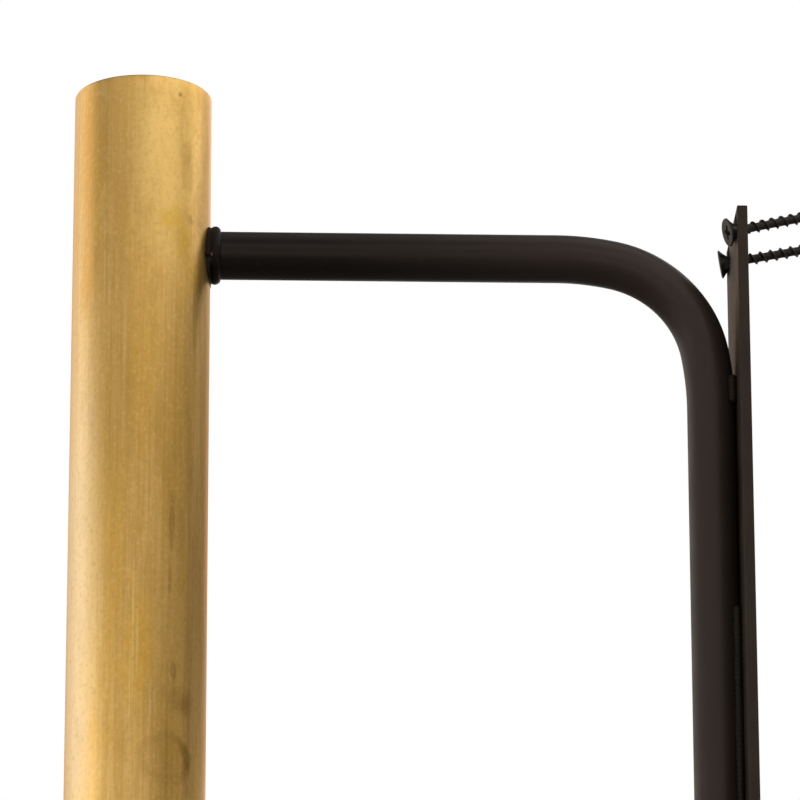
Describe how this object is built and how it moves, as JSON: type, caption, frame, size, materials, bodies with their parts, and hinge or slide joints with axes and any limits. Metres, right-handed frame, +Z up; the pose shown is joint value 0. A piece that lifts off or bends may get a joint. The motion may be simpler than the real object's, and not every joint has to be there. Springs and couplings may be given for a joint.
{
  "type": "pull handle",
  "caption": "Wall- or door-mounted pull handle: an upright brass tube grip held off by a bent blackened steel tube welded to a flat screw-on strip.",
  "frame": {"origin": "middle of the mounting strip's back face, where it meets the wall", "axes": "+X out of the strip's back, into the wall; the grip stands off towards -X; +Z up along the grip; Y across the strip"},
  "size_m": [0.2209, 0.04, 0.5],
  "materials": {
    "aged_brass": "satin, lightly brushed along its length, with aged patches",
    "black_tube": "satin brown-black",
    "black_strip": "satin brown-black",
    "black_collar": "satin brown-black, worn on its edges",
    "black_weld": "painted weld bead",
    "black_screw": "matt black phosphate",
    "bronze_pin": "dull reddish bronze",
    "plain_steel": "turned bare steel"
  },
  "bodies": {
    "handle": {"grip_tube": "aged_brass", "grip_cap_top": "aged_brass", "grip_cap_bottom": "aged_brass", "bracket_tube": "black_tube", "mounting_strip": "black_strip", "saddle_nut_upper": "plain_steel", "arm_spigot_upper": "plain_steel", "collar_flange_upper": "black_collar", "collar_ring_upper": "black_collar", "collar_pin_upper": "bronze_pin", "saddle_nut_lower": "plain_steel", "arm_spigot_lower": "plain_steel", "collar_flange_lower": "black_collar", "collar_ring_lower": "black_collar", "collar_pin_lower": "bronze_pin", "weld_upper_near": "black_weld", "weld_upper_far": "black_weld", "weld_middle_near": "black_weld", "weld_middle_far": "black_weld", "weld_lower_near": "black_weld", "weld_lower_far": "black_weld"},
    "screw_upper_near_body": {"screw_upper_near": "black_screw"},
    "screw_upper_far_body": {"screw_upper_far": "black_screw"},
    "screw_lower_near_body": {"screw_lower_near": "black_screw"},
    "screw_lower_far_body": {"screw_lower_far": "black_screw"}
  },
  "joints": [
    {"name": "slide_upper_near", "type": "slide", "parent": "handle", "child": "screw_upper_near_body", "axis": [0.9436, 0.1834, 0.2756], "range_m": [-0.015, 0.0003]},
    {"name": "slide_upper_far", "type": "slide", "parent": "handle", "child": "screw_upper_far_body", "axis": [0.9823, -0.1032, 0.1564], "range_m": [-0.015, 0.001]},
    {"name": "slide_lower_near", "type": "slide", "parent": "handle", "child": "screw_lower_near_body", "axis": [0.9709, 0.1192, 0.2079], "range_m": [-0.015, 0.0007]},
    {"name": "slide_lower_far", "type": "slide", "parent": "handle", "child": "screw_lower_far_body", "axis": [0.9679, -0.0677, 0.2419], "range_m": [-0.015, 0.0007]}
  ]
}
